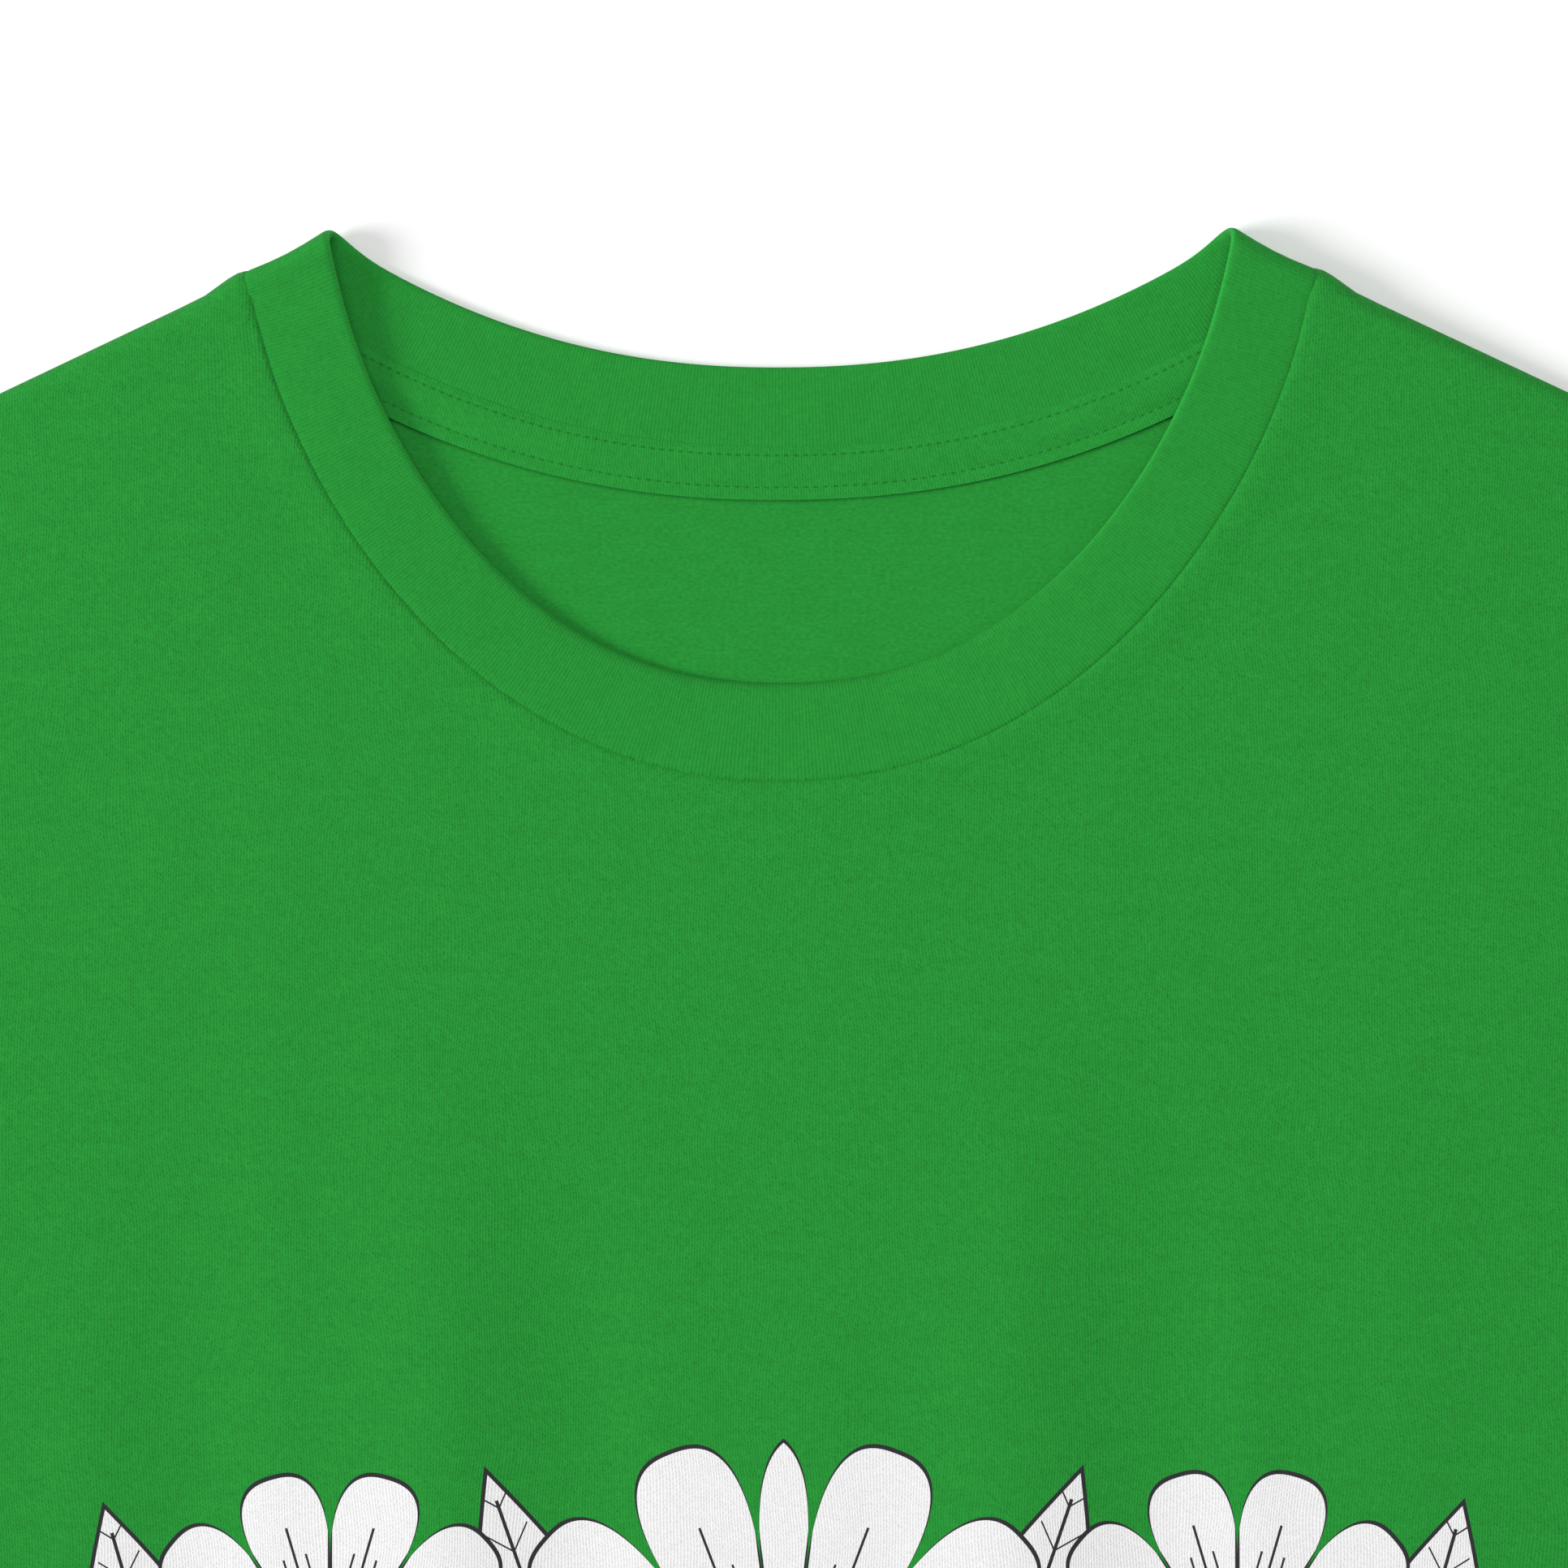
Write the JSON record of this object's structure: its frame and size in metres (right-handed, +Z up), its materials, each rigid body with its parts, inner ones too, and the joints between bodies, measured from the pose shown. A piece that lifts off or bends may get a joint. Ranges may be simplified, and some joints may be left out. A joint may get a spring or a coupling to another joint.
{
  "type": "long-sleeve t-shirt",
  "caption": "Crew-neck long-sleeve t-shirt laid flat and face up, with a ribbed collar, a tape inside the back neck and plain turned hems.",
  "frame": {"origin": "on the surface that the shirt lies on, at the middle of its width and of its length", "axes": "+X to the right of someone who looks at the front, across the spread sleeves; +Y from the hem to the neck; +Z up, from the back panel to the front panel"},
  "size_m": [1.367, 0.76, 0.0092],
  "materials": {
    "jersey": "matt green cotton jersey with a white and dark grey print on the chest",
    "rib_knit": "matt green one by one rib knit",
    "neck_tape": "matt green jersey tape with a row of stitches along each edge"
  },
  "bodies": {
    "root": {"front_panel": "jersey", "back_panel": "jersey", "sleeve_left": "jersey", "sleeve_right": "jersey", "neck_rib": "rib_knit", "neck_tape": "neck_tape"}
  },
  "joints": []
}
